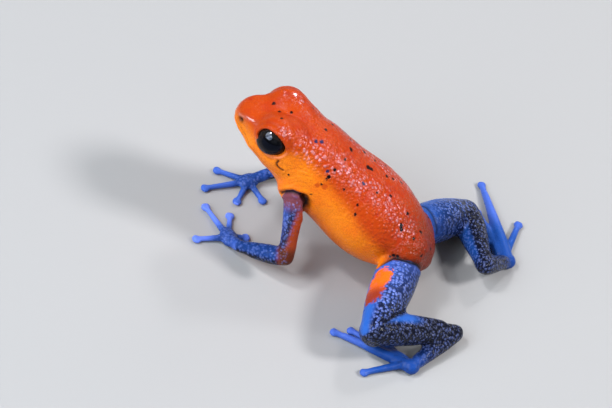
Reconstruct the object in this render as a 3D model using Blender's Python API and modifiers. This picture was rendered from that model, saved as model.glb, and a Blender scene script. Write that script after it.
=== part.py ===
"""A strawberry poison dart frog at life size, raised on its hands with its hind legs folded.

The flesh is built as overlapping masses in millimetres, fused into one closed skin, cut flat at the
floor and parted by thin plates at the neck and at each joint of the limbs. The two eyes are solids of
their own in sockets. The head points along -X, the frog's left side is -Y and the floor is z = 0.
"""

import math

import bmesh
import bpy
import numpy as np
from mathutils import Matrix, Vector

MM = 0.001

# Fineness of the fused flesh, and the gap that each plate leaves between two pieces.
VOXEL = 0.12
SMOOTH_ROUNDS = 7
FLESH_TRIANGLES = 5800
PLATE_GAP = 0.1
SHARP_ANGLE = math.radians(50.0)

# The trunk leans back from the snout by this angle, and the snout tip stands this high.
BODY_PITCH = math.radians(22.7)
SNOUT_HEIGHT = 10.92

# Trunk stations: distance behind the snout, lift of the centre, half width, half height above the
# centre, half height below the centre, squareness.
TRUNK = [
    (4.3, 0.55, 1.90, 1.60, 1.80, 2.0),
    (5.2, 0.80, 2.95, 2.55, 2.70, 2.0),
    (6.2, 0.82, 3.40, 2.95, 3.10, 2.0),
    (7.4, 0.72, 3.65, 3.25, 3.25, 2.0),
    (9.0, 0.52, 3.72, 3.35, 3.35, 2.0),
    (11.0, 0.38, 3.85, 3.35, 3.40, 2.05),
    (12.8, 0.28, 4.15, 3.45, 3.50, 2.1),
    (14.4, 0.18, 4.20, 3.45, 3.50, 2.1),
    (15.9, 0.10, 3.95, 3.35, 3.30, 2.1),
    (17.3, 0.05, 3.40, 3.05, 2.90, 2.1),
    (18.7, 0.00, 2.75, 2.60, 2.40, 2.05),
    (19.9, -0.08, 2.10, 2.05, 1.95, 2.0),
    (20.9, -0.16, 1.45, 1.40, 1.40, 2.0),
    (21.45, -0.22, 0.60, 0.60, 0.60, 2.0),
]

# Head stations: distance behind the snout tip, then height of the crown, half width and height of
# the ridge from nostril to eye, of the cheek and of the lip, and height of the throat.
HEAD = [
    (0.04, 10.98, 0.50, 10.92, 0.66, 10.56, 0.46, 10.24, 10.18),
    (0.30, 11.44, 0.98, 11.26, 1.12, 10.60, 0.92, 10.08, 9.92),
    (0.90, 11.74, 1.36, 11.52, 1.54, 10.50, 1.42, 9.78, 9.38),
    (1.80, 11.88, 1.74, 11.66, 2.12, 10.28, 2.02, 9.38, 8.70),
    (3.00, 12.02, 2.05, 12.34, 2.86, 10.10, 2.62, 8.92, 8.00),
    (4.30, 12.12, 2.30, 12.80, 3.30, 9.98, 3.02, 8.46, 7.32),
    (5.50, 12.14, 2.55, 12.14, 3.42, 9.76, 3.18, 7.96, 6.66),
    (6.80, 11.90, 2.60, 11.30, 3.20, 9.40, 3.05, 7.40, 6.20),
    (7.80, 11.10, 1.60, 10.60, 2.30, 9.00, 2.10, 7.60, 6.90),
]
JAW_WIDTH = 0.55
JAW_LIFT = 0.12

# Eyeballs, the brow and the lid that bulge round each one, the lid openings, and the nostrils.
EYE_CENTRE = (3.70, 1.98, 11.05)
EYE_RADIUS = 1.48
LID_CENTRE = (3.90, 1.88, 11.34)
LID_HALF = (1.86, 1.60, 1.68)
BROW_CENTRE = (4.30, 1.28, 11.02)
BROW_HALF = (2.55, 1.72, 1.74)
OPENING_HALF = (1.48, 1.06, 1.28)
OPENING_FACE = (-0.05, 0.93, 0.30)
OPENING_TILT = math.radians(-22.0)
SOCKET_GAP = 0.05
NOSTRIL = (0.62, 1.16, 10.92)
NOSTRIL_HALF = (0.24, 0.24, 0.17)

# Joints of the left and right limbs.
JOINTS = {
    "left": {
        "shoulder": (7.15, -3.00, 7.20),
        "elbow": (8.29, -6.20, 2.94),
        "wrist": (4.31, -4.83, 0.84),
        "palm": (3.33, -3.82, 0.46),
        "hip": (17.55, -2.00, 3.75),
        "knee": (16.97, -10.97, 3.60),
        "heel": (23.67, -5.22, 1.03),
        "ankle": (21.04, -10.25, 0.52),
    },
    "right": {
        "shoulder": (7.15, 3.00, 7.20),
        "elbow": (8.20, 6.30, 2.60),
        "wrist": (4.39, 4.48, 0.84),
        "palm": (3.28, 3.37, 0.46),
        "hip": (17.55, 2.00, 3.75),
        "knee": (21.50, 8.72, 1.28),
        "heel": (24.30, 2.15, 2.40),
        "ankle": (26.20, 5.80, 0.52),
    },
}

# Limb segments: the joints at their ends, and their radius at fractions of the way between them.
SEGMENTS = {
    "upper_arm": ("shoulder", "elbow", [(-0.05, 1.15), (0.2, 0.94), (0.55, 0.74), (0.85, 0.70), (1.0, 0.66)]),
    "forearm": ("elbow", "wrist", [(0.0, 0.66), (0.25, 0.80), (0.6, 0.70), (1.0, 0.50)]),
    "thigh": ("hip", "knee", [(0.0, 1.60), (0.25, 1.80), (0.5, 1.80), (0.75, 1.52), (1.0, 1.12)]),
    "shank": ("knee", "heel", [(0.0, 1.12), (0.22, 1.28), (0.5, 1.14), (0.78, 0.84), (1.0, 0.74)]),
    "tarsus": ("heel", "ankle", [(0.0, 0.74), (0.3, 0.76), (0.65, 0.66), (1.0, 0.54)]),
}

# Swelling of the breast over the root of each upper arm.
CHEST_CENTRE = (7.00, 2.25, 7.60)
CHEST_HALF = (1.75, 1.70, 1.75)

# Tips of the digits on the floor, from the inner one outward.
FINGERS = {
    "left": [(4.90, -2.75), (2.80, -0.95), (0.52, -1.05), (0.71, -5.30)],
    "right": [(5.16, 1.85), (2.95, 0.55), (-0.11, 0.74), (0.26, 3.42)],
}
TOES = {
    "left": [(18.75, -8.55), (16.95, -8.15), (15.25, -8.55), (13.95, -9.45), (17.37, -12.73)],
    "right": [(23.95, 7.55), (23.15, 9.05), (22.45, 10.55), (22.16, 14.05), (26.30, 11.05)],
}

# Digits: radius and height at fractions of the way from the palm or sole to the tip, how far from
# its middle they start, and the disc at the end of each.
DIGIT_ROWS = [(0.0, 0.40, 0.42), (0.3, 0.34, 0.36), (0.55, 0.32, 0.30), (0.8, 0.31, 0.26), (0.97, 0.31, 0.24)]
FINGER_FAN = 0.35
TOE_FAN = 0.2
DISC_HALF = (0.44, 0.42, 0.26)
DISC_HEIGHT = 0.19
DISC_SETBACK = 0.6
PALM_HALF = (1.10, 0.85, 0.50)
PALM_NECK = 0.48
SOLE_HALF = (1.45, 0.80, 0.48)
SOLE_AHEAD = 1.1
SOLE_HEIGHT = 0.42
SOLE_NECK = 0.46
TOE_ROOT_AHEAD = 0.5

# Plates across the elbow, knee, heel and ankle: the two neighbours that set the plane, the weight of
# the first one, the reach outward and inward from the joint, and the half breadth.
PLATES = {
    "elbow": ("shoulder", "wrist", 1.0, 1.3, 1.6, 1.2),
    "knee": ("hip", "heel", 0.85, 1.8, 5.2, 2.2),
    "heel": ("knee", "ankle", 1.0, 1.2, 4.2, 1.5),
    "ankle": ("heel", "toe", 1.6, 1.2, 1.3, 1.0),
}

# Plates across a limb: the joints it runs between, the fraction of the way, the half breadth, and how
# much the plate leans towards the tail.
CROSSINGS = {
    "shoulder": ("shoulder", "elbow", 0.27, 1.12, 0.0),
    "hip": ("hip", "knee", 0.175, 2.4, 0.38),
    "wrist": ("elbow", "wrist", 1.0, 1.15, 0.0),
}
CROSSING_UP = (0.3, 0.2, 1.0)
NECK_POINT = (5.78, 0.0, 9.20)
NECK_NORMAL = (0.976, 0.0, -0.219)
NECK_HALF = 5.2
FLOOR_CENTRE = (12.0, 0.0, -5.0)
FLOOR_HALF = (30.0, 30.0, 5.0)

FLESH_COLOURS = {
    "head": (0.80, 0.09, 0.015),
    "trunk": (0.80, 0.10, 0.015),
    "upper_arm": (0.22, 0.06, 0.16),
    "forearm": (0.04, 0.07, 0.22),
    "hand": (0.12, 0.16, 0.60),
    "thigh": (0.03, 0.08, 0.32),
    "shank": (0.02, 0.03, 0.08),
    "tarsus": (0.02, 0.05, 0.18),
    "foot": (0.03, 0.09, 0.36),
}
FLESH_ROUGHNESS = 0.35
EYE_COLOUR = (0.005, 0.005, 0.006)
EYE_ROUGHNESS = 0.05

UNTURNED = Matrix.Identity(3)


def clear_scene():
    for obj in list(bpy.data.objects):
        bpy.data.objects.remove(obj, do_unlink=True)


def new_collection(name, hidden):
    group = bpy.data.collections.new(name)
    bpy.context.scene.collection.children.link(group)
    group.hide_render = hidden
    return group


def mesh_object(name, points, faces, group):
    mesh = bpy.data.meshes.new(name)
    mesh.from_pydata([tuple(p) for p in points], [], faces)
    bm = bmesh.new()
    bm.from_mesh(mesh)
    bmesh.ops.recalc_face_normals(bm, faces=bm.faces)
    bm.to_mesh(mesh)
    bm.free()
    obj = bpy.data.objects.new(name, mesh)
    group.objects.link(obj)
    return obj


def eased(rows, steps):
    """Rows of numbers with more rows between them, on a smooth curve through the given ones."""
    rows = np.array(rows, float)
    padded = np.vstack([2 * rows[0] - rows[1], rows, 2 * rows[-1] - rows[-2]])
    out = []
    for i in range(1, len(padded) - 2):
        a, b, c, d = padded[i - 1:i + 3]
        slope = c - a
        bend = 2 * a - 5 * b + 4 * c - d
        twist = 3 * b - a - 3 * c + d
        for t in np.arange(steps) / steps:
            out.append(b + 0.5 * (slope * t + bend * t**2 + twist * t**3))
    out.append(rows[-1])
    return np.array(out)


def skin_rings(name, rings, group):
    """One closed surface through rings of points, with a point at the middle of each end."""
    count = len(rings[0])
    last = len(rings) - 1
    points = [p for ring in rings for p in ring]
    faces = []
    for i in range(last):
        for j in range(count):
            k = (j + 1) % count
            faces.append((i * count + j, i * count + k, (i + 1) * count + k, (i + 1) * count + j))
    for i in (0, last):
        points.append(np.mean(rings[i], axis=0))
        middle = len(points) - 1
        start = i * count
        faces += [(start + j, start + (j + 1) % count, middle) for j in range(count)]
    return mesh_object(name, points, faces, group)


def signed_power(value, power):
    return math.copysign(abs(value) ** power, value)


def trunk_mass(group):
    back = np.array([math.cos(BODY_PITCH), 0.0, -math.sin(BODY_PITCH)])
    dorsal = np.array([math.sin(BODY_PITCH), 0.0, math.cos(BODY_PITCH)])
    side = np.array([0.0, 1.0, 0.0])
    snout = np.array([0.0, 0.0, SNOUT_HEIGHT])
    turns = np.linspace(0, 2 * math.pi, 40, endpoint=False)
    rings = []
    for station, lift, half, above, below, square in eased(TRUNK, 3):
        centre = snout + station * back + lift * dorsal
        ring = []
        for turn in turns:
            across = signed_power(math.cos(turn), 2 / square) * half
            up = signed_power(math.sin(turn), 2 / square)
            ring.append(centre + across * side + up * (above if up > 0 else below) * dorsal)
        rings.append(ring)
    return skin_rings("trunk_mass", rings, group)


def head_mass(group):
    rings = []
    for x, crown, ridge_w, ridge_z, cheek_w, cheek_z, lip_w, lip_z, throat in eased(HEAD, 4):
        jaw = (lip_w * JAW_WIDTH, throat + JAW_LIFT)
        half = [(ridge_w, ridge_z), (cheek_w, cheek_z), (lip_w, lip_z), jaw]
        outline = [(0.0, crown)] + half + [(0.0, throat)] + [(-w, z) for w, z in reversed(half)]
        looped = outline[-1:] + outline + outline[:2]
        smooth = eased(looped, 4)[4:4 + 4 * len(outline)]
        rings.append([np.array([x, y, z]) for y, z in smooth])
    return skin_rings("head_mass", rings, group)


def rounded_end(centre, along, radius, outward):
    """Rings that close a tube with a dome, from its rim to near its tip."""
    rings = []
    for angle in (20, 40, 60, 80):
        turn = math.radians(angle)
        rings.append((centre + outward * along * radius * math.sin(turn), along, radius * math.cos(turn)))
    return rings


def tube(name, rows, group, sides=14):
    """A round limb through rows of x, y, z and radius, with domed ends."""
    rows = eased(rows, 4)
    path = rows[:, :3]
    tangents = np.gradient(path, axis=0)
    tangents /= np.linalg.norm(tangents, axis=1)[:, None]
    samples = list(reversed(rounded_end(path[0], tangents[0], rows[0, 3], -1)))
    samples += [(path[i], tangents[i], rows[i, 3]) for i in range(len(path))]
    samples += rounded_end(path[-1], tangents[-1], rows[-1, 3], 1)
    side = np.cross(tangents[0], (0.0, 0.0, 1.0))
    turns = np.linspace(0, 2 * math.pi, sides, endpoint=False)
    rings = []
    for centre, along, radius in samples:
        side = side - along * np.dot(side, along)
        side /= np.linalg.norm(side)
        other = np.cross(along, side)
        rings.append([centre + radius * (math.cos(t) * side + math.sin(t) * other) for t in turns])
    return skin_rings(name, rings, group)


def ball(name, centre, half, turn, group, rings=12, sides=20):
    """An ellipsoid of the given half sizes, turned by a 3 x 3 matrix."""
    centre = np.array(centre)
    rows = []
    for i in range(1, rings):
        polar = math.pi * i / rings
        row = []
        for t in np.linspace(0, 2 * math.pi, sides, endpoint=False):
            unit = (math.sin(polar) * math.cos(t), math.sin(polar) * math.sin(t), math.cos(polar))
            row.append(centre + np.array(turn @ Vector(a * b for a, b in zip(unit, half))))
        rows.append(row)
    obj = skin_rings(name, rows, group)
    pole = np.array(turn @ Vector((0.0, 0.0, half[2])))
    obj.data.vertices[-2].co = centre + pole
    obj.data.vertices[-1].co = centre - pole
    return obj


def box(name, centre, turn, half, group):
    corners = [(x, y, z) for x in (-1, 1) for y in (-1, 1) for z in (-1, 1)]
    points = []
    for corner in corners:
        local = Vector(c * h for c, h in zip(corner, half))
        points.append(np.array(centre) + np.array(turn @ local))
    faces = [(0, 1, 3, 2), (4, 6, 7, 5), (0, 4, 5, 1), (2, 3, 7, 6), (0, 2, 6, 4), (1, 5, 7, 3)]
    return mesh_object(name, points, faces, group)


def heading(x, y):
    return Matrix.Rotation(math.atan2(y, x), 3, "Z")


def mirrored(place, sign):
    return (place[0], sign * place[1], place[2])


def head_masses(group):
    made = [head_mass(group)]
    for sign in (-1, 1):
        made.append(ball("lid_mass", mirrored(LID_CENTRE, sign), LID_HALF, UNTURNED, group))
        made.append(ball("brow_mass", mirrored(BROW_CENTRE, sign), BROW_HALF, UNTURNED, group))
    return made


def limb_masses(side, group):
    joints = {name: np.array(place) for name, place in JOINTS[side].items()}
    sign = math.copysign(1, joints["shoulder"][1])
    made = [ball(f"breast_{side}_mass", mirrored(CHEST_CENTRE, sign), CHEST_HALF, UNTURNED, group)]
    for segment, (start, end, profile) in SEGMENTS.items():
        reach = joints[end] - joints[start]
        rows = [(*(joints[start] + share * reach), radius) for share, radius in profile]
        made.append(tube(f"{segment}_{side}_mass", rows, group))
    return made


def digit_masses(name, root, tips, fan, group):
    """Digits from the middle of a hand or foot to tips on the floor, each ending in a disc."""
    made = []
    root = np.array(root)
    for number, tip in enumerate(tips):
        tip = np.array(tip)
        unit = (tip - root) / np.linalg.norm(tip - root)
        start = root + unit * fan
        rows = [(*(start + share * (tip - start)), height, radius) for share, radius, height in DIGIT_ROWS]
        made.append(tube(f"{name}_digit_{number}", rows, group, sides=10))
        disc = tip - unit * DISC_HALF[0] * DISC_SETBACK
        made.append(ball(f"{name}_disc_{number}", (*disc, DISC_HEIGHT), DISC_HALF, heading(*unit), group))
    return made


def hand_masses(side, group):
    palm = JOINTS[side]["palm"]
    middle = np.mean(FINGERS[side][1:3], axis=0) - np.array(palm[:2])
    made = [ball(f"palm_{side}_mass", palm, PALM_HALF, heading(*middle), group)]
    made.append(tube(f"wrist_{side}_mass", [(*JOINTS[side]["wrist"], 0.50), (*palm, PALM_NECK)], group))
    return made + digit_masses(f"hand_{side}", palm[:2], FINGERS[side], FINGER_FAN, group)


def foot_masses(side, group):
    ankle = np.array(JOINTS[side]["ankle"])
    middle = np.array(TOES[side][2]) - ankle[:2]
    unit = middle / np.linalg.norm(middle)
    sole = (*(ankle[:2] + unit * SOLE_AHEAD), SOLE_HEIGHT)
    root = ankle[:2] + unit * TOE_ROOT_AHEAD
    made = [ball(f"sole_{side}_mass", sole, SOLE_HALF, heading(*unit), group)]
    made.append(tube(f"ankle_{side}_mass", [(*ankle, 0.54), (*sole, SOLE_NECK)], group))
    return made + digit_masses(f"foot_{side}", root, TOES[side], TOE_FAN, group)


def make_active(obj):
    bpy.ops.object.select_all(action="DESELECT")
    bpy.context.view_layer.objects.active = obj
    obj.select_set(True)


def apply_modifier(obj, kind, **settings):
    modifier = obj.modifiers.new(kind.lower(), kind)
    for name, value in settings.items():
        setattr(modifier, name, value)
    make_active(obj)
    bpy.ops.object.modifier_apply(modifier=modifier.name)


def fused(masses):
    make_active(masses[0])
    for obj in masses[1:]:
        obj.select_set(True)
    bpy.ops.object.join()
    body = bpy.context.view_layer.objects.active
    body.name = "flesh"
    apply_modifier(body, "REMESH", mode="VOXEL", voxel_size=VOXEL, adaptivity=0.0)
    apply_modifier(body, "SMOOTH", factor=0.5, iterations=SMOOTH_ROUNDS)
    body.data.calc_loop_triangles()
    share = FLESH_TRIANGLES / len(body.data.loop_triangles)
    apply_modifier(body, "DECIMATE", ratio=share, use_collapse_triangulate=True)
    return body


def cut_away(body, cutter):
    cutter.display_type = "WIRE"
    cutter.hide_render = True
    apply_modifier(body, "BOOLEAN", operation="DIFFERENCE", solver="EXACT", object=cutter)


def axes(inward, normal):
    """A turn whose X is the inward direction and whose Z is the normal of the plate."""
    z = Vector(normal).normalized()
    x = Vector(inward)
    x = (x - z * x.dot(z)).normalized()
    return Matrix((x, z.cross(x), z)).transposed()


def joint_plates(side, cutters):
    """Thin plates that part the bent joints, each in the plane that halves the bend."""
    joints = {name: Vector(place) for name, place in JOINTS[side].items()}
    joints["toe"] = Vector((*TOES[side][3], 0.3))
    made = []
    for name, (before, after, weight, outward, inward, breadth) in PLATES.items():
        here = joints[name]
        first = (joints[before] - here).normalized()
        second = (joints[after] - here).normalized()
        middle = (weight * first + second).normalized()
        turn = axes(middle, middle.cross(first.cross(second)))
        centre = here + middle * (inward - outward) / 2
        half = ((inward + outward) / 2, breadth, PLATE_GAP / 2)
        made.append(box(f"{name}_{side}_plate", centre, turn, half, cutters))
    return made


def crossing_plates(side, cutters):
    """Thin plates square to a limb."""
    joints = {name: Vector(place) for name, place in JOINTS[side].items()}
    made = []
    for name, (start, end, share, breadth, lean) in CROSSINGS.items():
        along = joints[end] - joints[start]
        centre = joints[start] + share * along
        turn = axes(CROSSING_UP, along.normalized() + Vector((lean, 0.0, 0.0)))
        made.append(box(f"{name}_{side}_plate", centre, turn, (breadth, breadth, PLATE_GAP / 2), cutters))
    return made


def part_flesh(body, cutters):
    cut_away(body, box("floor", FLOOR_CENTRE, UNTURNED, FLOOR_HALF, cutters))
    neck_half = (NECK_HALF, NECK_HALF, PLATE_GAP / 2)
    plates = [box("neck_plate", NECK_POINT, axes((0, 0, 1), NECK_NORMAL), neck_half, cutters)]
    for side in JOINTS:
        plates += joint_plates(side, cutters) + crossing_plates(side, cutters)
    for plate in plates:
        cut_away(body, plate)
    make_active(body)
    bpy.ops.object.mode_set(mode="EDIT")
    bpy.ops.mesh.select_all(action="SELECT")
    bpy.ops.mesh.separate(type="LOOSE")
    bpy.ops.object.mode_set(mode="OBJECT")
    return list(bpy.context.selected_objects)


def seeds():
    """A place inside each piece of flesh, by the piece's name."""
    found = {"head": np.array([3.0, 0.0, 10.0]), "trunk": np.array([12.5, 0.0, 6.0])}
    for side, joints in JOINTS.items():
        places = {name: np.array(place) for name, place in joints.items()}
        for segment, (start, end, _) in SEGMENTS.items():
            found[f"{segment}_{side}"] = (places[start] + 1.1 * places[end]) / 2.1
        found[f"hand_{side}"] = places["palm"]
        toes = np.mean(TOES[side][1:4], axis=0)
        found[f"foot_{side}"] = np.array([*(0.6 * places["ankle"][:2] + 0.4 * toes), 0.4])
    return found


def name_parts(parts, group):
    """Gives each piece the name of the seed that is nearest to its surface."""
    clouds = [np.array([v.co for v in part.data.vertices]) for part in parts]
    nearest = {}
    for name, place in seeds().items():
        gaps = [np.linalg.norm(cloud - place, axis=1).min() for cloud in clouds]
        nearest[name] = parts[int(np.argmin(gaps))]
    print(len(parts), "pieces,", len(set(part.name for part in nearest.values())), "seeded")
    for name, part in nearest.items():
        part.name = name
        part.data.name = name
        for owner in list(part.users_collection):
            owner.objects.unlink(part)
        group.objects.link(part)
    return nearest


def eye_parts(group, cutters, head):
    """Cuts the lid opening, socket and nostril on each side, and returns the eyeballs."""
    made = {}
    for side, sign in (("left", -1), ("right", 1)):
        centre = Vector(mirrored(EYE_CENTRE, sign))
        face = Vector(mirrored(OPENING_FACE, sign)).normalized()
        turn = axes((math.cos(OPENING_TILT), 0.0, math.sin(OPENING_TILT)), face)
        opening = centre + face * EYE_RADIUS
        cut_away(head, ball(f"opening_{side}", opening, OPENING_HALF, turn, cutters, 14, 28))
        socket = (EYE_RADIUS + SOCKET_GAP,) * 3
        cut_away(head, ball(f"socket_{side}", centre, socket, turn, cutters, 10, 18))
        nostril = mirrored(NOSTRIL, sign)
        cut_away(head, ball(f"nostril_{side}", nostril, NOSTRIL_HALF, UNTURNED, cutters, 6, 8))
        made[f"eye_{side}"] = ball(f"eye_{side}", centre, (EYE_RADIUS,) * 3, turn, group, 10, 18)
    return made


def material(name, colour, roughness):
    made = bpy.data.materials.new(name)
    made.use_nodes = True
    shader = made.node_tree.nodes["Principled BSDF"]
    shader.inputs["Base Color"].default_value = (*colour, 1.0)
    shader.inputs["Roughness"].default_value = roughness
    shader.inputs["Metallic"].default_value = 0.0
    return made


def paint(nodes):
    for name, obj in nodes.items():
        kind = name.replace("_left", "").replace("_right", "")
        eye = kind == "eye"
        colour = EYE_COLOUR if eye else FLESH_COLOURS[kind]
        obj.data.materials.clear()
        obj.data.materials.append(material(name, colour, EYE_ROUGHNESS if eye else FLESH_ROUGHNESS))


def finish(nodes):
    """Rests the frog on z = 0 with the middle of its box at the origin, in metres."""
    points = np.array([v.co for obj in nodes.values() for v in obj.data.vertices])
    low, high = points.min(axis=0), points.max(axis=0)
    shift = np.array([-(low[0] + high[0]) / 2, -(low[1] + high[1]) / 2, -low[2]])
    print("moved by", shift.round(4), "mm")
    for obj in nodes.values():
        for vertex in obj.data.vertices:
            vertex.co = (np.array(vertex.co) + shift) * MM
        for polygon in obj.data.polygons:
            polygon.use_smooth = True
        obj.data.set_sharp_from_angle(angle=SHARP_ANGLE)


def main():
    clear_scene()
    frog = new_collection("strawberry_poison_dart_frog", False)
    cutters = new_collection("cutters", True)
    masses = [trunk_mass(frog)] + head_masses(frog)
    for side in JOINTS:
        masses += limb_masses(side, frog) + hand_masses(side, frog) + foot_masses(side, frog)
    nodes = name_parts(part_flesh(fused(masses), cutters), frog)
    nodes.update(eye_parts(frog, cutters, nodes["head"]))
    paint(nodes)
    finish(nodes)


main()
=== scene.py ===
import math

import bpy
import numpy as np
from mathutils import Matrix, Vector
from mathutils.bvhtree import BVHTree


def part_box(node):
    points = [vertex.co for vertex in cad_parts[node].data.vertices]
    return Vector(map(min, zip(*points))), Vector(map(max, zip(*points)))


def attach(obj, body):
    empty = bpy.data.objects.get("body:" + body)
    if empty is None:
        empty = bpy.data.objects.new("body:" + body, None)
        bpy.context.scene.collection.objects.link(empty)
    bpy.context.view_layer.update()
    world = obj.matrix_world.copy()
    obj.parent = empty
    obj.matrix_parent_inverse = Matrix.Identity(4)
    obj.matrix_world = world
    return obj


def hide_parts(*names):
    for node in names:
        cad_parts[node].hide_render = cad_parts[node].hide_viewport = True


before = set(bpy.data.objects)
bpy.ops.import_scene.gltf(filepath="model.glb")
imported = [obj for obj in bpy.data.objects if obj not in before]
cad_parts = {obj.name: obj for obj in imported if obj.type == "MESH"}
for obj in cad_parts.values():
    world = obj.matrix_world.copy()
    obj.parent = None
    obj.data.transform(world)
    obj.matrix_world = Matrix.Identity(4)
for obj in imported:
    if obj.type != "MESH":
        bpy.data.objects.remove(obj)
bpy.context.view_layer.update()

mm = 0.001

# Places are given in millimetres: x back from the snout tip, y to the frog's right, z up from the floor.
eyeball = {"x": 3.7, "y": 1.98, "z": 11.05, "radius": 1.48, "face": (-0.05, 0.93, 0.3), "cornea": 0.05}
eyeLow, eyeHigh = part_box("eye_left")
snout = (eyeLow + eyeHigh) / 2 - Vector((eyeball["x"], -eyeball["y"], eyeball["z"])) * mm

joints = {
    "left": {"shoulder": (7.15, -3.0, 7.2), "elbow": (8.29, -6.2, 2.94), "wrist": (4.31, -4.83, 0.84),
             "palm": (3.33, -3.82, 0.46), "hip": (17.55, -2.0, 3.75), "knee": (16.97, -10.97, 3.6),
             "heel": (23.67, -5.22, 1.03), "ankle": (21.04, -10.25, 0.52)},
    "right": {"shoulder": (7.15, 3.0, 7.2), "elbow": (8.2, 6.3, 2.6), "wrist": (4.39, 4.48, 0.84),
              "palm": (3.28, 3.37, 0.46), "hip": (17.55, 2.0, 3.75), "knee": (21.5, 8.72, 1.28),
              "heel": (24.3, 2.15, 2.4), "ankle": (26.2, 5.8, 0.52)},
}
sides = {"left": -1, "right": 1}


def place(x, y, z):
    return snout + Vector((x, y, z)) * mm


def joint(side, name):
    return np.array(joints[side][name])


def eyePlace(sign):
    return eyeball["x"], sign * eyeball["y"], eyeball["z"]


def outward(direction, sign):
    # a direction given for the right side, turned to the side of sign
    x, y, z = direction
    return Vector((x, sign * y, z)).normalized()


# Small tools for every piece.
def pick(obj):
    bpy.ops.object.select_all(action="DESELECT")
    bpy.context.view_layer.objects.active = obj
    obj.select_set(True)


def applyModifier(obj, kind, **settings):
    modifier = obj.modifiers.new(kind.lower(), kind)
    for name, value in settings.items():
        setattr(modifier, name, value)
    pick(obj)
    bpy.ops.object.modifier_apply(modifier=modifier.name)


def remesh(obj, size):
    applyModifier(obj, "REMESH", mode="VOXEL", voxel_size=size * mm, adaptivity=0.0)


def soften(obj, rounds, factor=0.5, zone=""):
    applyModifier(obj, "SMOOTH", factor=factor, iterations=rounds, vertex_group=zone)


def swell(obj, height, level=0.0, **settings):
    applyModifier(obj, "DISPLACE", strength=height * mm, mid_level=level, **settings)


def joinAll(objects, name):
    pick(objects[0])
    for obj in objects:
        obj.select_set(True)
    bpy.ops.object.join()
    joined = bpy.context.object
    joined.name = name
    joined.data.name = name
    return joined


def roundBlock(name, centre, half, heading=0.0, segments=32, rings=20):
    bpy.ops.mesh.primitive_uv_sphere_add(segments=segments, ring_count=rings, radius=mm,
                                         location=place(*centre))
    block = bpy.context.object
    block.name = name
    block.scale = half
    block.rotation_euler = (0.0, 0.0, heading)
    bpy.ops.object.transform_apply(location=True, rotation=True, scale=True)
    return block


def limbTube(name, rows):
    # rows: five places along the limb, with a radius each
    bpy.ops.curve.primitive_nurbs_path_add(location=(0, 0, 0))
    tube = bpy.context.object
    tube.name = name
    for point, (x, y, z, radius) in zip(tube.data.splines[0].points, rows):
        point.co = (*place(x, y, z), 1.0)
        point.radius = radius
    tube.data.bevel_depth = mm
    tube.data.bevel_resolution = 6
    tube.data.resolution_u = 8
    tube.data.use_fill_caps = True
    bpy.ops.object.convert(target="MESH")
    return tube


def tubeBetween(name, start, end, rows, lift=(0.0, 0.0, 0.0)):
    # rows: shares of the way from start to end, with a radius each
    places = [(*(start + share * (end - start) + np.array(lift)), radius) for share, radius in rows]
    return limbTube(name, places)


def readVectors(obj, kind):
    values = np.empty(len(obj.data.vertices) * 3, dtype=np.float32)
    obj.data.vertices.foreach_get(kind, values)
    return values.reshape(-1, 3)


def readNumbers(items, kind, each=1):
    values = np.empty(len(items) * each, dtype=np.int32)
    items.foreach_get(kind, values)
    return values


def readPoints(obj):
    return (readVectors(obj, "co") - np.array(snout)) / mm


def writePoints(obj, points):
    obj.data.vertices.foreach_set("co", (points * mm + np.array(snout)).astype(np.float32).ravel())
    obj.data.update()


def readNormals(obj):
    return readVectors(obj, "normal").astype(float)


def fade(values, low, high):
    # 0 at low, 1 at high, smooth between them; low may be the larger one
    share = np.clip((values - low) / (high - low), 0.0, 1.0)
    return share * share * (3.0 - 2.0 * share)


def bell(values, width):
    # 1 at 0, and hardly anything from twice the width on
    return np.exp(-(values / width) ** 2)


def lineDistance(points, line, reach):
    # how far each point is from a line of places, where that is less than reach
    line = np.array(line)
    best = np.full(len(points), float(reach))
    for start, end in zip(line[:-1], line[1:]):
        low, high = np.minimum(start, end) - reach, np.maximum(start, end) + reach
        near = np.nonzero(np.all((points > low) & (points < high), axis=1))[0]
        along = end - start
        local = points[near] - start
        share = np.clip(local @ along / (along @ along), 0.0, 1.0)
        gap = np.linalg.norm(local - share[:, None] * along, axis=1)
        best[near] = np.minimum(best[near], gap)
    return best


def surfaceTree(obj):
    mesh = obj.data
    return BVHTree.FromPolygons([v.co for v in mesh.vertices], [p.vertices[:] for p in mesh.polygons])


def layOnSkin(tree, line, sign, depth=0.0):
    # brings a line of places onto the skin, with points between them; sign 1 turns it to the right side
    line = np.array(line, dtype=float) * (1.0, -sign, 1.0)
    dense = [line[0]]
    for start, end in zip(line[:-1], line[1:]):
        dense += [start + (end - start) * step / 4.0 for step in (1, 2, 3, 4)]
    laid = [tree.find_nearest(place(*point)) for point in dense]
    return np.array([(spot[0] - snout) / mm - spot[1] * depth for spot in laid])


# The flesh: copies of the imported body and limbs, with fresh lids, hands and feet, melted into one skin.
flesh = {
    "nodes": ["head", "trunk"] + [
        f"{part}_{side}" for part in ("upper_arm", "forearm", "thigh", "shank", "tarsus") for side in sides],
    "swell": 0.07,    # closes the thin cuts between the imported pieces
    "firstVoxel": 0.13,
    "firstRounds": 18,
    "shrinkBack": 0.02,
    "secondVoxel": 0.1,
    "fineVoxel": 0.088,
    "rounds": 3,
    "calmRounds": 90,
    "rumpRounds": 260,
    "triangles": 188000,
}
masses = {
    "rumpSide": ((16.8, -1.9, 5.45), (2.6, 1.8, 1.35)),    # the flank that hangs over the left thigh
    "rumpEnd": ((18.25, -0.15, 4.1), (1.6, 1.95, 1.5)),    # the end of the back, over the vent
    "knee": {"left": ((17.1, -10.5, 2.95), (1.32, 1.3, 1.28)),
             "right": ((21.4, 8.4, 1.6), (1.0, 1.0, 1.0))},
    "calf": [(0.06, 0.95), (0.26, 1.22), (0.45, 1.16), (0.66, 0.9), (0.85, 0.72)],
    "calfLift": {"left": (-0.13, 0.23, 0.24), "right": (0.0, 0.05, 0.16)},
}
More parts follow.
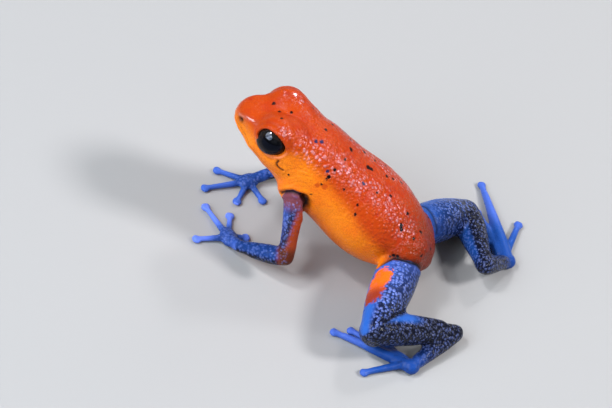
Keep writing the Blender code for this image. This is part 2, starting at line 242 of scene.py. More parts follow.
lids = {
    "lid": ((3.9, 1.88, 11.34), (1.86, 1.6, 1.68)),
    "bed": 1.38,    # flesh under the eyeball
    "openingHalf": (1.6, 0.93, 1.22),
    "openingTilt": -28.0,
}
hands = {
    "left": [(4.9, -2.75), (2.8, -0.95), (0.52, -1.05), (0.71, -5.3)],
    "right": [(5.16, 1.85), (2.95, 0.55), (-0.11, 0.74), (0.26, 3.42)],
}
feet = {
    "left": [(18.75, -8.55), (16.95, -8.15), (15.25, -8.55), (13.95, -9.45), (17.37, -12.73)],
    "right": [(23.95, 7.55), (23.15, 9.05), (22.45, 10.55), (22.16, 14.05), (26.3, 11.05)],
}
digits = {  # rows: share of the way to the tip, radius and height; pads: half their length, width and height
    "fingerRows": [(0.0, 0.34, 0.4), (0.3, 0.24, 0.33), (0.5, 0.27, 0.3), (0.75, 0.2, 0.25),
                   (0.97, 0.22, 0.23)],
    "toeRows": [(0.0, 0.4, 0.42), (0.3, 0.31, 0.35), (0.52, 0.33, 0.32), (0.78, 0.26, 0.27),
                (0.97, 0.27, 0.24)],
    "fingerStart": 0.35,    # from the middle of the palm
    "toesAhead": 0.5,       # where the toes meet, ahead of the ankle
    "toeStart": 0.2,
    "disc": (0.42, 0.44, 0.22),
    "discHeight": 0.2,
    "discBack": 0.6,    # from the tip to its middle, in half lengths
    "scute": (0.2, 0.15, 0.13),
    "scutePlace": (0.12, 0.16, 0.13),    # ahead, to the side and above the disc's middle
    "palm": (1.05, 0.76, 0.48),
    "wrist": (0.5, 0.52, 0.52, 0.5, 0.46),
    "sole": (1.45, 0.8, 0.48),
    "soleAhead": 1.1,
    "soleHeight": 0.42,
    "footRoot": (0.75, 0.75, 0.55),
    "ankle": [(-0.5, 0.54), (-0.1, 0.52), (0.3, 0.5), (0.7, 0.48), (1.0, 0.46)],
    "instep": {"left": (0.5, 0.5, 0.42, 0.33, 0.25), "right": (0.58, 0.64, 0.54, 0.4, 0.25)},
    "instepShares": (0.0, 0.2, 0.42, 0.64, 0.86),
    "instepHeight": 0.34,
}
calmZones = [  # place, radius: where joined masses melt together, at nape, groin, wrists, ankles and armpits
    ((6.3, -2.7, 11.7), 1.5), ((6.3, 2.7, 11.7), 1.5), ((5.6, -2.4, 12.2), 0.9), ((5.6, 2.4, 12.2), 0.9),
    ((17.4, -2.9, 6.0), 1.7), ((4.7, -5.3, 0.9), 1.1), ((4.8, 5.0, 0.9), 1.1), ((21.0, -10.5, 0.7), 1.1),
    ((26.1, 6.0, 0.7), 1.1), ((8.35, -4.5, 6.0), 0.75), ((8.35, 4.5, 6.0), 0.75),
]
rumpZones = [
    ((17.1, -2.1, 6.7), 2.0), ((18.6, -1.9, 5.4), 1.8), ((15.4, -2.9, 6.6), 1.3), ((19.2, 1.4, 5.2), 2.0),
    ((20.0, 0.0, 4.2), 1.6), ((20.0, -1.0, 4.4), 1.5),
]
pushes = [  # place, radius, move: soft moves as with proportional editing, the same on both sides
    ((0.55, -1.35, 10.75), 1.25, (0.2, 0.1, 0.06)),
    ((1.3, -1.9, 9.95), 1.2, (0.15, 0.15, 0.08)),
    ((3.0, -2.75, 8.95), 1.5, (0.06, 0.14, 0.1)),
    ((4.6, -3.1, 8.35), 1.6, (0.05, 0.14, 0.1)),
    ((5.15, -3.44, 9.9), 0.42, (0.0, 0.035, 0.0)),
    ((2.35, -2.55, 11.35), 0.5, (-0.15, 0.05, 0.06)),
]


def copyOfNode(name):
    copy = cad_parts[name].copy()
    copy.data = copy.data.copy()
    copy.name = name + "_flesh"
    copy.parent = None
    for key in list(copy.keys()):
        del copy[key]
    bpy.context.collection.objects.link(copy)
    pick(copy)
    bpy.ops.object.mode_set(mode="EDIT")
    bpy.ops.mesh.select_all(action="SELECT")
    bpy.ops.mesh.remove_doubles(threshold=0.000001)
    bpy.ops.object.mode_set(mode="OBJECT")
    copy.data.materials.clear()
    swell(copy, flesh["swell"])
    return copy


def makeDigits(name, root, tips, rows, gap):
    # fingers or toes from the root to each tip: a tube that swells at the joints, a disc and two scutes on it
    made = []
    root = np.array(root[:2])
    for number, tip in enumerate(tips):
        tip = np.array(tip)
        along = (tip - root) / np.linalg.norm(tip - root)
        across = np.array([-along[1], along[0]])
        turn = math.atan2(along[1], along[0])
        start = root + along * gap
        places = [(*(start + share * (tip - start)), height, radius) for share, radius, height in rows]
        made.append(limbTube(f"{name}_digit_{number}", places))
        disc = tip - along * digits["disc"][0] * digits["discBack"]
        made.append(roundBlock(f"{name}_disc_{number}", (*disc, digits["discHeight"]), digits["disc"], turn))
        forward, sideways, above = digits["scutePlace"]
        for sign in (-1, 1):
            scute = (*(disc + along * forward + across * sign * sideways), digits["discHeight"] + above)
            made.append(roundBlock(f"{name}_scute_{number}", scute, digits["scute"], turn))
    return made


def makeHand(side):
    wrist, palm = joint(side, "wrist"), joint(side, "palm")
    tips = np.array(hands[side])
    ahead = tips[1:3].mean(axis=0) - palm[:2]
    made = [roundBlock(f"palm_{side}", palm, digits["palm"], math.atan2(ahead[1], ahead[0]))]
    elbow = joint(side, "elbow")
    bend = [wrist + share * (elbow - wrist) for share in (0.22, 0.1, 0.0)] + [(wrist + palm) / 2, palm]
    made.append(limbTube(f"wrist_{side}", [(*spot, radius) for spot, radius in zip(bend, digits["wrist"])]))
    return made + makeDigits(f"hand_{side}", palm, tips, digits["fingerRows"], digits["fingerStart"])


def makeFoot(side):
    ankle = joint(side, "ankle")
    tips = np.array(feet[side])
    ahead = (tips[2] - ankle[:2]) / np.linalg.norm(tips[2] - ankle[:2])
    sole = np.array([*(ankle[:2] + ahead * digits["soleAhead"]), digits["soleHeight"]])
    made = [roundBlock(f"sole_{side}", sole, digits["sole"], math.atan2(ahead[1], ahead[0]))]
    half = digits["footRoot"]
    made.append(roundBlock(f"footRoot_{side}", (*ankle[:2], half[2]), half))
    made.append(tubeBetween(f"ankle_{side}", ankle, sole, digits["ankle"]))
    longToe = np.array([*tips[3], digits["instepHeight"]])
    instep = zip(digits["instepShares"], digits["instep"][side])
    made.append(tubeBetween(f"instep_{side}", ankle, longToe, instep))
    root = ankle[:2] + ahead * digits["toesAhead"]
    return made + makeDigits(f"foot_{side}", root, tips, digits["toeRows"], digits["toeStart"])


def makeLids(sign):
    (x, y, z), half = lids["lid"]
    lid = roundBlock("lid", (x, sign * y, z), half)
    return [lid, roundBlock("eye_bed", eyePlace(sign), (lids["bed"],) * 3)]


def openLids(skin, sign):
    # a recess in the lids that shows the eyeball
    face = outward(eyeball["face"], sign)
    tilt = math.radians(lids["openingTilt"])
    along = Vector((math.cos(tilt), 0.0, math.sin(tilt)))
    along = (along - face * along.dot(face)).normalized()
    turn = Matrix((along, face.cross(along), face)).transposed().to_4x4()
    centre = place(*eyePlace(sign)) + face * eyeball["radius"] * mm
    bpy.ops.mesh.primitive_uv_sphere_add(segments=48, ring_count=32, radius=mm, location=(0, 0, 0))
    cutter = bpy.context.object
    cutter.name = "opening"
    cutter.data.transform(Matrix.Diagonal((*lids["openingHalf"], 1.0)))
    cutter.data.transform(turn)
    cutter.data.transform(Matrix.Translation(centre))
    applyModifier(skin, "BOOLEAN", operation="DIFFERENCE", solver="EXACT", object=cutter)
    bpy.data.objects.remove(cutter, do_unlink=True)


def calm(obj, zones, rounds):
    # smooths the flesh in the zones only
    points = readPoints(obj)
    weights = np.zeros(len(points))
    for centre, radius in zones:
        gap = np.linalg.norm(points - np.array(centre), axis=1)
        weights = np.maximum(weights, fade(gap, radius, radius * 0.4))
    group = obj.vertex_groups.new(name="calm")
    for index in np.nonzero(weights > 0.01)[0]:
        group.add([int(index)], float(weights[index]), "REPLACE")
    soften(obj, rounds, zone="calm")
    obj.vertex_groups.clear()


def pushSoftly(points, moves):
    for centre, radius, move in moves:
        for sign in (1.0, -1.0):
            gap = np.linalg.norm(points - np.array(centre) * (1.0, sign, 1.0), axis=1) / radius
            pull = np.where(gap < 1.0, (1.0 - gap ** 2) ** 2, 0.0)
            points = points + pull[:, None] * np.array(move) * (1.0, sign, 1.0)
    return points


blocks = [copyOfNode(name) for name in flesh["nodes"]]
for side, sign in sides.items():
    blocks += makeLids(sign)
    blocks.append(tubeBetween(f"calf_{side}", joint(side, "knee"), joint(side, "heel"), masses["calf"],
                              masses["calfLift"][side]))
    blocks.append(roundBlock(f"knee_{side}", *masses["knee"][side]))
blocks.append(roundBlock("rumpSide", *masses["rumpSide"]))
blocks.append(roundBlock("rumpEnd", *masses["rumpEnd"]))
body = joinAll(blocks, "skin")
remesh(body, flesh["firstVoxel"])
soften(body, flesh["firstRounds"])
swell(body, -flesh["shrinkBack"])
calm(body, calmZones, flesh["calmRounds"])
calm(body, rumpZones, flesh["rumpRounds"])
print("body smoothed:", len(body.data.vertices), "points")

blocks = [body]
for side in sides:
    blocks += makeHand(side) + makeFoot(side)
skin = joinAll(blocks, "skin")
remesh(skin, flesh["secondVoxel"])
for sign in (-1, 1):
    openLids(skin, sign)
print("lids opened:", len(skin.data.vertices), "points")
remesh(skin, flesh["fineVoxel"])
soften(skin, flesh["rounds"])
writePoints(skin, pushSoftly(readPoints(skin), pushes))
print("skin melted together:", len(skin.data.vertices), "points")


# Folds and ridges: lines of the left side, laid on the skin and pressed in, or raised where depth is below 0.
# A fold's darkness is painted shade along it.
both, leftOnly, rightOnly = (-1, 1), (-1,), (1,)
folds = {  # width, depth, darkness of the painted shade, swelling beside it, sides, line
    "mouth": (0.1, 0.075, 0.38, 0.35, both, [
        (0.16, 0.0, 10.38), (0.22, -0.45, 10.4), (0.42, -0.95, 10.34), (0.8, -1.45, 10.14),
        (1.3, -1.85, 9.86), (2.0, -2.25, 9.52), (2.8, -2.62, 9.2), (3.6, -2.95, 8.95),
        (4.4, -3.15, 8.72), (5.05, -3.28, 8.62)]),
    "canthus": (0.24, -0.09, 0.0, 0.0, both, [
        (0.48, -1.05, 11.25), (0.95, -1.34, 11.54), (1.49, -1.54, 11.65), (2.05, -1.9, 11.84)]),
    "lidRim": (0.14, -0.045, 0.0, 0.0, both, [
        (2.27, -2.56, 11.08), (2.26, -2.5, 11.4), (2.36, -2.46, 11.95), (2.88, -2.64, 12.47),
        (3.57, -2.87, 12.6), (4.27, -3.02, 12.37), (4.9, -3.12, 11.85), (5.18, -3.15, 11.35),
        (5.14, -3.19, 11.12)]),
    "lidGroove": (0.16, 0.05, 0.12, 0.0, both, [
        (2.2, -2.1, 12.05), (2.93, -2.24, 12.71), (3.74, -2.52, 12.87), (4.56, -2.73, 12.62),
        (5.18, -2.92, 12.0), (5.45, -3.02, 11.4)]),
    "lowerRim": (0.11, -0.05, 0.0, 0.0, both, [
        (2.27, -2.56, 11.08), (2.35, -2.6, 10.8), (2.57, -2.68, 10.48), (3.12, -2.96, 10.22),
        (3.73, -3.16, 10.09), (4.22, -3.27, 10.17), (4.76, -3.31, 10.45), (5.03, -3.22, 10.93),
        (5.14, -3.19, 11.12)]),
    "lowerFold": (0.1, 0.035, 0.15, 0.0, both, [
        (2.35, -2.66, 10.3), (3.02, -2.98, 9.98), (3.75, -3.22, 9.84), (4.4, -3.34, 9.98),
        (4.95, -3.38, 10.3)]),
    "tympanum": (0.11, 0.1, 1.0, 0.3, both, [
        (4.74, -3.38, 10.1), (4.66, -3.42, 9.82), (4.8, -3.45, 9.58), (5.1, -3.48, 9.44),
        (5.36, -3.48, 9.42)]),
    "shoulder": (0.18, 0.18, 1.0, 0.35, both, [
        (5.85, -3.3, 6.7), (5.97, -3.5, 7.05), (6.3, -3.8, 7.65), (6.76, -3.88, 7.99),
        (7.42, -3.85, 8.02), (7.99, -3.78, 7.73)]),
    "armpit": (0.3, 0.42, 1.0, 0.15, both, [
        (7.85, -3.82, 7.78), (8.2, -3.8, 7.4), (8.3, -3.79, 6.95), (8.36, -3.73, 6.45),
        (8.34, -3.65, 6.05)]),
    "groin": (0.22, 0.17, 1.0, 0.25, leftOnly, [
        (15.69, -4.55, 4.38), (16.06, -4.31, 4.9), (16.57, -3.92, 5.27), (17.25, -4.01, 5.48),
        (17.92, -3.85, 5.41), (18.53, -3.47, 5.08), (19.05, -2.95, 4.35), (19.3, -2.5, 3.6)]),
    "groinRight": (0.16, 0.05, 0.7, 0.0, rightOnly, [
        (16.9, -3.9, 4.6), (17.6, -3.6, 5.2), (18.4, -3.0, 5.2), (19.0, -2.5, 4.8), (19.6, -2.0, 4.0)]),
    "kneeFold": (0.13, 0.16, 0.9, 0.2, leftOnly, [
        (17.62, -10.62, 4.62), (17.9, -10.2, 4.66), (18.24, -9.33, 4.52), (18.55, -8.6, 4.25),
        (18.74, -8.0, 3.95)]),
    "neckUpper": (0.08, 0.026, 0.0, 0.4, both, [
        (5.65, -3.47, 9.39), (5.96, -3.42, 9.75), (6.31, -3.36, 10.0), (7.12, -3.3, 10.15)]),
    "neckMiddle": (0.08, 0.028, 0.0, 0.4, both, [
        (5.85, -3.49, 8.7), (6.37, -3.5, 9.33), (6.79, -3.48, 9.66), (7.54, -3.44, 9.78)]),
    "neckLower": (0.08, 0.028, 0.0, 0.4, both, [
        (6.15, -3.6, 8.1), (6.71, -3.62, 8.89), (7.09, -3.63, 9.11), (7.53, -3.64, 9.12)]),
    "throat": (0.14, 0.05, 0.1, 0.2, both, [
        (6.3, 0.0, 5.9), (6.3, -1.0, 6.0), (6.2, -1.9, 6.3), (6.05, -2.6, 6.9)]),
}
pits = {
    "nostril": {"place": (0.6, -1.25, 10.85), "radius": 0.28, "depth": 0.26, "sides": both},
    "vent": {"place": (20.45, 0.0, 3.3), "radius": 0.34, "depth": 0.16, "sides": rightOnly},
}
pressing = {
    "reach": 5.0,    # in widths of a fold: how far it is felt, and where the lip beside it stands
    "lip": 2.1,
    "shadeDepth": 0.9,    # the painted shade lies a little above the bottom of a fold
    "pitWidth": 0.75,
    "pitShade": 1.25,    # the painted shade in a pit reaches past its rim
    "pitShadeDepth": 0.7,
}
unevenness = {"size": 0.9, "height": 0.035}


def pressFolds(obj):
    # gives back the line, width and painted shade of each fold and pit, for the colours
    tree = surfaceTree(obj)
    points, normals = readPoints(obj), readNormals(obj)
    shift = np.zeros(len(points))
    found = []
    for width, depth, paintedShade, swelling, foldSides, line in folds.values():
        for sign in foldSides:
            reach = width * pressing["reach"]
            gap = lineDistance(points, layOnSkin(tree, line, sign), reach)
            lip = swelling * bell(gap - pressing["lip"] * width, width)
            shift -= depth * (bell(gap, width) - lip) * (gap < reach)
            found.append((layOnSkin(tree, line, sign, depth * pressing["shadeDepth"]), width, paintedShade))
    for pit in pits.values():
        for sign in pit["sides"]:
            line = [pit["place"], pit["place"]]
            gap = np.linalg.norm(points - layOnSkin(tree, line, sign)[0], axis=1)
            shift -= pit["depth"] * bell(gap, pit["radius"] * pressing["pitWidth"])
            bottom = layOnSkin(tree, line, sign, pit["depth"] * pressing["pitShadeDepth"])[0]
            found.append((np.array([bottom, bottom + 0.01]), pit["radius"] * pressing["pitShade"], 1.0))
    writePoints(obj, points + normals * shift[:, None])
    return found


cloud = bpy.data.textures.new("unevenness", "CLOUDS")
cloud.noise_scale = unevenness["size"] * mm
swell(skin, unevenness["height"], 0.5, texture=cloud, texture_coords="LOCAL")
pressed = pressFolds(skin)
soften(skin, 1, 0.4)
skinPoints = readPoints(skin)
skinPoints[:, 2] = np.maximum(skinPoints[:, 2], 0.0)      # nothing below the floor
writePoints(skin, skinPoints)
skin.data.calc_loop_triangles()
applyModifier(skin, "DECIMATE", ratio=min(1.0, flesh["triangles"] / len(skin.data.loop_triangles)))
skin.data.calc_loop_triangles()
print("skin folded:", len(skin.data.vertices), "points,", len(skin.data.loop_triangles), "triangles")


# Eyes: an eyeball each with a slightly raised cornea.
def makeEye(side, sign):
    centre = np.array(eyePlace(sign))
    eye = roundBlock(f"eyeball_{side}", centre, (eyeball["radius"],) * 3, segments=64, rings=48)
    face = np.array(outward(eyeball["face"], sign))
    points = readPoints(eye)
    out = (points - centre) / eyeball["radius"]
    writePoints(eye, points + face * (eyeball["cornea"] * fade(out @ face, 0.6, 0.95))[:, None])
    pick(eye)
    bpy.ops.object.shade_smooth()
    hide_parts(f"eye_{side}")
    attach(eye, "root")
    return eye


eyes = {side: makeEye(side, sign) for side, sign in sides.items()}


# Masks for the colours: a value at each point of the skin, worked out from the body's own parts.
limbParts = {"body": ["head", "trunk"], "upperArm": ["upper_arm"], "forearm": ["forearm"], "hand": ["hand"],
             "thigh": ["thigh"], "shank": ["shank"], "tarsus": ["tarsus"], "foot": ["foot"]}
marks = {
    "partSoftness": 0.07,    # how softly one part turns into the next
    "flank": [  # x and z of the line where red turns to orange
        (0.2, 11.1), (0.7, 11.2), (1.5, 11.3), (2.5, 10.9), (3.25, 10.5), (4.1, 10.6), (5.2, 11.3),
        (6.2, 11.2), (7.5, 10.6), (8.7, 9.8), (10.1, 8.7), (11.8, 7.8), (13.2, 6.7), (14.7, 5.7),
        (15.8, 4.9), (17.5, 3.6), (20.0, 1.5)],
    "paintedHighlight": [  # the middle of the band of grains whose tips get a painted highlight
        (6.5, -2.35, 11.75), (7.2, -2.25, 11.45), (8.6, -1.9, 11.1), (10.4, -1.65, 10.4),
        (12.1, -1.6, 9.6), (13.7, -1.5, 9.0), (15.2, -1.7, 8.1), (16.6, -2.0, 7.0)],
    # painted shade: the dark hollow behind each arm
    "armpit": [(7.65, -3.42, 7.58), (7.94, -3.46, 7.34), (8.15, -3.4, 6.9)],
    "armpitWidth": 0.45,
    "emberWidth": 0.98,
}
sideMarks = {  # the same for one side: lines, directions and strengths
    # the brow lines place the patches of painted highlight, and the thigh strength sets a painted violet
    # highlight on top of the thigh
    "left": {"brow": [(4.25, -2.62, 12.75), (4.5, -2.7, 12.6)],
             "ember": [(16.0, -6.1, 5.0), (15.8, -8.25, 4.5)],
             "thighRoot": (17.2, -3.98, 5.4), "thighLean": (0.391, -0.92, 0.0),
             "thighFront": (-0.93, 0.0, 0.25), "thighPaintedHighlight": 0.3, "palmViolet": 1.0,
             "calfTop": (-0.3, 0.62, 0.72), "calfEdge": (0.4, 0.85), "calfEnd": (0.62, 0.35),
             "calf": 1.0, "footDark": 1.0},
    "right": {"brow": [(3.6, 1.6, 12.85), (4.6, 1.6, 12.75)], "ember": [(17.5, 5.8, 3.0), (18.6, 7.2, 2.4)],
              "thighRoot": (17.6, 2.1, 3.7), "thighLean": (0.483, 0.822, -0.302),
              "thighFront": (-0.75, 0.45, 0.35), "thighPaintedHighlight": 0.0, "palmViolet": 0.35,
              "calfTop": (-0.91, -0.35, 0.2), "calfEdge": (0.6, 0.95), "calfEnd": (1.1, 0.8),
              "calf": 0.65, "footDark": 0.4},
}


def partShares(points):
    # how much each point belongs to each kind of part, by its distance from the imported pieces
    gaps = {}
    world = points * mm + np.array(snout)
    for group, parts in limbParts.items():
        gap = np.full(len(points), 5.0)
        names = parts if group == "body" else [f"{part}_{side}" for part in parts for side in sides]
        for name in names:
            low, high = (np.array(corner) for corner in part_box(name))
            near = np.nonzero(np.all((world > low - 1.6 * mm) & (world < high + 1.6 * mm), axis=1))[0]
            tree = surfaceTree(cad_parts[name])
            for index in near:
                found = tree.find_nearest(world[index])
                gap[index] = min(gap[index], found[3] / mm)
        gaps[group] = gap
    nearest = np.min(list(gaps.values()), axis=0)
    shares = {group: np.exp(-(gap - nearest) / marks["partSoftness"]) for group, gap in gaps.items()}
    total = np.sum(list(shares.values()), axis=0)
    return {group: share / total for group, share in shares.items()}


def alongLimb(points, side, start, end):
    # for each point: its share of the way along the limb, its direction off the bone, and its distance
    start, end = joint(side, start), joint(side, end)
    axis = end - start
    way = (points - start) @ axis / (axis @ axis)
    out = points - start - way[:, None] * axis
    reach = np.linalg.norm(out, axis=1)
    return way, out / np.maximum(reach, 1e-6)[:, None], reach


def paintArm(masks, points, share, side, onSide):
    # the upper arm starts at the shoulder fold: blue in front, rust behind, a dark net where they meet
    fromMiddle = points[:, 1] * sides[side]
    way, out, reach = alongLimb(points, side, "shoulder", "elbow")
    zone = fade(way, 0.42, 0.32) * (reach < 2.3) * onSide
    root = fade(reach, 1.32, 1.16) * fade(fromMiddle, 3.5, 3.68)
    masks["limb"] = masks["limb"] * (1 - zone) + zone * root
    arm = masks["limb"] * np.maximum(zone, share["upperArm"]) * onSide * (reach < 1.8)
    rear = out @ np.array((0.95, -0.25 * sides[side], 0.15))
    edge = 0.5 - 1.1 * way
    rusty = np.clip(fade(rear, edge - 0.25, edge + 0.35) + fade(way, 0.8, 0.97), 0, 1)
    masks["rust"] += arm * rusty * fade(way, 0.1, 0.3)
    masks["elbow"] += arm * (fade(way, 0.78, 1.0) + 0.35 * fade(way, 0.2, 0.8))
    masks["wine"] += arm * fade(way, 0.34, 0.14)
    masks["violet"] += arm * 0.25 * fade(rear, 0.3, -0.2)
    netted = 0.35 * fade(rear, edge, edge - 0.5) + 0.65 * bell(rear - edge + 0.15, 0.45)
    masks["net"] += arm * netted * fade(way, 0.05, 0.22)
    masks["dark"] += arm * (0.3 + 0.6 * bell(rear - edge + 0.15, 0.5)) * fade(way, 0.12, 0.3)

    way, out, reach = alongLimb(points, side, "elbow", "wrist")
    forearm = share["forearm"] * onSide
    masks["rust"] += forearm * fade(way, 0.16, -0.04)
    masks["elbow"] += forearm * fade(way, 0.1, 0.0)
    masks["dark"] += forearm * (0.5 + 0.6 * fade(out[:, 2], 0.35, -0.35))
    masks["net"] += forearm * (0.3 + 0.6 * fade(out[:, 2], 0.4, -0.2))

    hand = share["hand"] * onSide
    fromPalm = np.linalg.norm(points[:, :2] - joint(side, "palm")[:2], axis=1)
    masks["violet"] += hand * sideMarks[side]["palmViolet"] * (0.15 + 0.7 * fade(fromPalm, 0.9, 2.2))
    masks["net"] += hand * 0.3 * fade(fromPalm, 1.9, 0.7)
    masks["dark"] += hand * 0.4 * fade(fromPalm, 1.9, 0.7)


def paintThigh(masks, points, share, side, onSide):
    # the thigh starts at the groin fold: smooth in front with a patch of ember, a net above and behind
    own = sideMarks[side]
    fromMiddle = points[:, 1] * sides[side]
    fromRoot = points - np.array(own["thighRoot"])
    way, out, reach = alongLimb(points, side, "hip", "knee")
    zone = fade(np.linalg.norm(fromRoot, axis=1), 4.2, 3.2) * onSide
    zone = zone * fade(share["thigh"] + share["body"], 0.5, 0.9)
    root = fade(fromRoot @ np.array(own["thighLean"]), -0.1, 0.1) * fade(fromMiddle, 1.2, 1.9)
    masks["limb"] = masks["limb"] * (1 - zone) + zone * root
    thigh = masks["limb"] * np.maximum(share["thigh"], zone) * onSide
    front = out @ np.array(own["thighFront"])
    masks["strip"] += thigh * fade(front, 0.55, 0.92)
    netted = 0.62 + 0.35 * fade(way, 0.3, 0.9)
    masks["net"] += thigh * fade(front, 0.85, 0.45) * netted * fade(way, 0.05, 0.35)
    darker = 0.12 + 0.6 * fade(front, 0.35, -0.5) + 0.35 * fade(way, 0.65, 1.0)
    masks["dark"] += thigh * darker * fade(front, 0.95, 0.6)
    # painted highlight: violet on the upward side of the left thigh
    masks["violet"] += thigh * own["thighPaintedHighlight"] * fade(out[:, 2], 0.2, 0.9) * fade(front, 0.95, 0.5)
    ember = lineDistance(points, own["ember"], 2.5)
    masks["ember"] += thigh * fade(ember, marks["emberWidth"] + 0.4, marks["emberWidth"] - 0.55)
    masks["emberLow"] += thigh * fade(fromMiddle, 6.7, 8.2)


def paintShank(masks, points, share, side, onSide):
    # a smooth blue calf over a black net of pale grains, that thins out towards the foot
    own = sideMarks[side]
    way, out, reach = alongLimb(points, side, "knee", "heel")
    shank = share["shank"] * onSide
    calf = shank * fade(out @ np.array(own["calfTop"]), *own["calfEdge"]) * own["calf"]
    calf *= fade(way, -0.04, 0.12) * fade(way, *own["calfEnd"])
    masks["strip"] += calf
    masks["dark"] += shank * (1 - calf)
    masks["net"] += shank * (1 - calf)

    way, out, reach = alongLimb(points, side, "heel", "ankle")
    tarsus = share["tarsus"] * onSide
    masks["dark"] += tarsus * (0.95 - 0.45 * fade(way, 0.5, 1.0))
    masks["net"] += tarsus * 0.9 * fade(way, 1.0, 0.5)

    foot = share["foot"] * onSide
    fromAnkle = np.linalg.norm(points - joint(side, "ankle"), axis=1)
    masks["dark"] += foot * own["footDark"] * (0.15 + 0.4 * fade(fromAnkle, 4.0, 0.5))
    masks["violet"] += foot * 0.4 * fade(fromAnkle, 3.0, 5.5)


def eitherSide(points, line, reach):
    # how far each point is from a line of the left side, or from its mirror image
    return np.minimum(lineDistance(points, line, reach), lineDistance(points * (1, -1, 1), line, reach))


def paintBody(masks, points):
    x, y, z = points.T
    flank = np.interp(x, *np.array(marks["flank"]).T)
    masks["belly"] = fade(z, flank + 1.2 + 0.7 * fade(x, 4.0, 8.0), flank - 1.7)
    # painted shade: a deeper orange on the underside, below the flank line
    masks["bellyShade"] = fade(z, flank - 1.6, flank - 4.2) * fade(x, 6.0, 9.0)
    masks["rump"] = fade(x + 0.3 * (7.0 - z), 14.0, 20.0) * fade(z, flank - 1.4, flank + 0.8)

    # painted highlight: pale pink painted on the grain tips in a band along the back, weaker on the right,
    # and a patch on each brow
    line = marks["paintedHighlight"]
    band = np.minimum(lineDistance(points, line, 2.2), lineDistance(points * (1, -1, 1), line, 2.2) + 0.5)
    brow = np.minimum(*[lineDistance(points, sideMarks[side]["brow"], 1.6) for side in sides])
    masks["paintedHighlight"] = np.maximum(fade(band, 1.5, 0.4), fade(brow, 0.65, 0.2))
    grain = fade(x, 3.8, 6.6) * (0.35 + 0.65 * fade(z, flank - 1.2, flank + 0.6))
    grain *= 0.45 + 0.55 * fade(band, 2.2, 0.8)
    masks["grain"] = np.maximum(grain, 0.1 + 0.6 * fade(brow, 1.2, 0.3))

    # wet ridges between nostril and eye and round the lid, and the pale lower rim
    canthus, lid = (eitherSide(points, folds[name][-1], 1.0) for name in ("canthus", "lidRim"))
    wetEdge = fade(np.minimum(canthus, lid), 0.45, 0.15)
    masks["wet"] = np.maximum(np.maximum(masks["paintedHighlight"], masks["net"]), wetEdge)
    masks["ridge"] = np.maximum(fade(canthus, 0.3, 0.08), 0.8 * fade(brow, 0.45, 0.1))
    masks["rim"] = fade(eitherSide(points, folds["lowerRim"][-1], 0.5), 0.16, 0.05)

    # painted shade in the creases: every pressed fold and pit, and the hollow behind each arm
    hollows = [(np.array(marks["armpit"]) * (1, sign, 1), marks["armpitWidth"], 1.0) for sign in (1, -1)]
    for line, width, paintedShade in pressed + hollows:
        gap = lineDistance(points, line, width * 4.0)
        masks["creaseShade"] = np.maximum(masks["creaseShade"], paintedShade * bell(gap, width * 0.95))


def paintMasks(obj):
    points = readPoints(obj)
    share = partShares(points)
    masks = {"limb": 1.0 - share["body"]}
    for name in ("dark", "net", "rust", "ember", "violet", "strip", "creaseShade", "elbow", "wine", "emberLow"):
        masks[name] = np.zeros(len(points))
    for side, sign in sides.items():
        onSide = (points[:, 1] * sign > -0.5).astype(float)
        for paint in (paintArm, paintThigh, paintShank):
            paint(masks, points, share, side, onSide)
    paintBody(masks, points)
    for name, values in masks.items():
        attribute = obj.data.attributes.new(name, "FLOAT", "POINT")
        attribute.data.foreach_set("value", np.clip(values, 0.0, 1.0).astype(np.float32))
    return masks


masks = paintMasks(skin)
print("masks painted:", ", ".join(masks))


# The unwrap: each part of the body is laid out from six sides, and the pieces are packed.
unwrapping = {"rounds": 24, "margin": 0.0025, "millimetres": 40.0}


def calmNormals(obj, rounds):
    normals = readNormals(obj)
    first, second = readNumbers(obj.data.edges, "vertices", 2).reshape(-1, 2).T
    for _ in range(rounds):
        count = len(normals)
        total = [np.bincount(first, normals[second, axis], count)
                 + np.bincount(second, normals[first, axis], count) for axis in range(3)]
        normals = normals + np.array(total).T
        normals /= np.maximum(np.linalg.norm(normals, axis=1), 1e-9)[:, None]
    return normals


def unwrapSkin(obj):
    mesh = obj.data
    points, normals = readPoints(obj), calmNormals(obj, unwrapping["rounds"])
    share = partShares(points)
    part = np.argmax(np.array(list(share.values())), axis=0) * 2 + (points[:, 1] > 0) * (share["body"] < 0.5)
    corners, first = readNumbers(mesh.loops, "vertex_index"), readNumbers(mesh.polygons, "loop_start")
    face = np.repeat(np.arange(len(first)), np.diff(np.append(first, len(corners))))
    lean = np.add.reduceat(normals[corners], first, axis=0)
    axis = np.argmax(np.abs(lean), axis=1)
    chart = part[corners[first]] * 6 + axis * 2 + (lean[np.arange(len(first)), axis] > 0)
    row = np.arange(len(corners))
    across = points[corners][row, np.array([1, 0, 0])[axis[face]]] + chart[face] * unwrapping["millimetres"]
    upward = points[corners][row, np.array([2, 2, 1])[axis[face]]]
    laid = np.stack([across, upward], axis=1) / unwrapping["millimetres"]
    layer = mesh.uv_layers.new(name="OFBake")
    layer.data.foreach_set("uv", laid.astype(np.float32).ravel())
    pick(obj)
    bpy.ops.object.mode_set(mode="EDIT")
    bpy.ops.mesh.select_all(action="SELECT")
    bpy.ops.uv.select_all(action="SELECT")
    bpy.ops.uv.pack_islands(rotate=True, margin=unwrapping["margin"], shape_method="AABB")
    bpy.ops.object.mode_set(mode="OBJECT")


unwrapSkin(skin)
print("skin unwrapped:", len(skin.data.uv_layers["OFBake"].data), "corners")


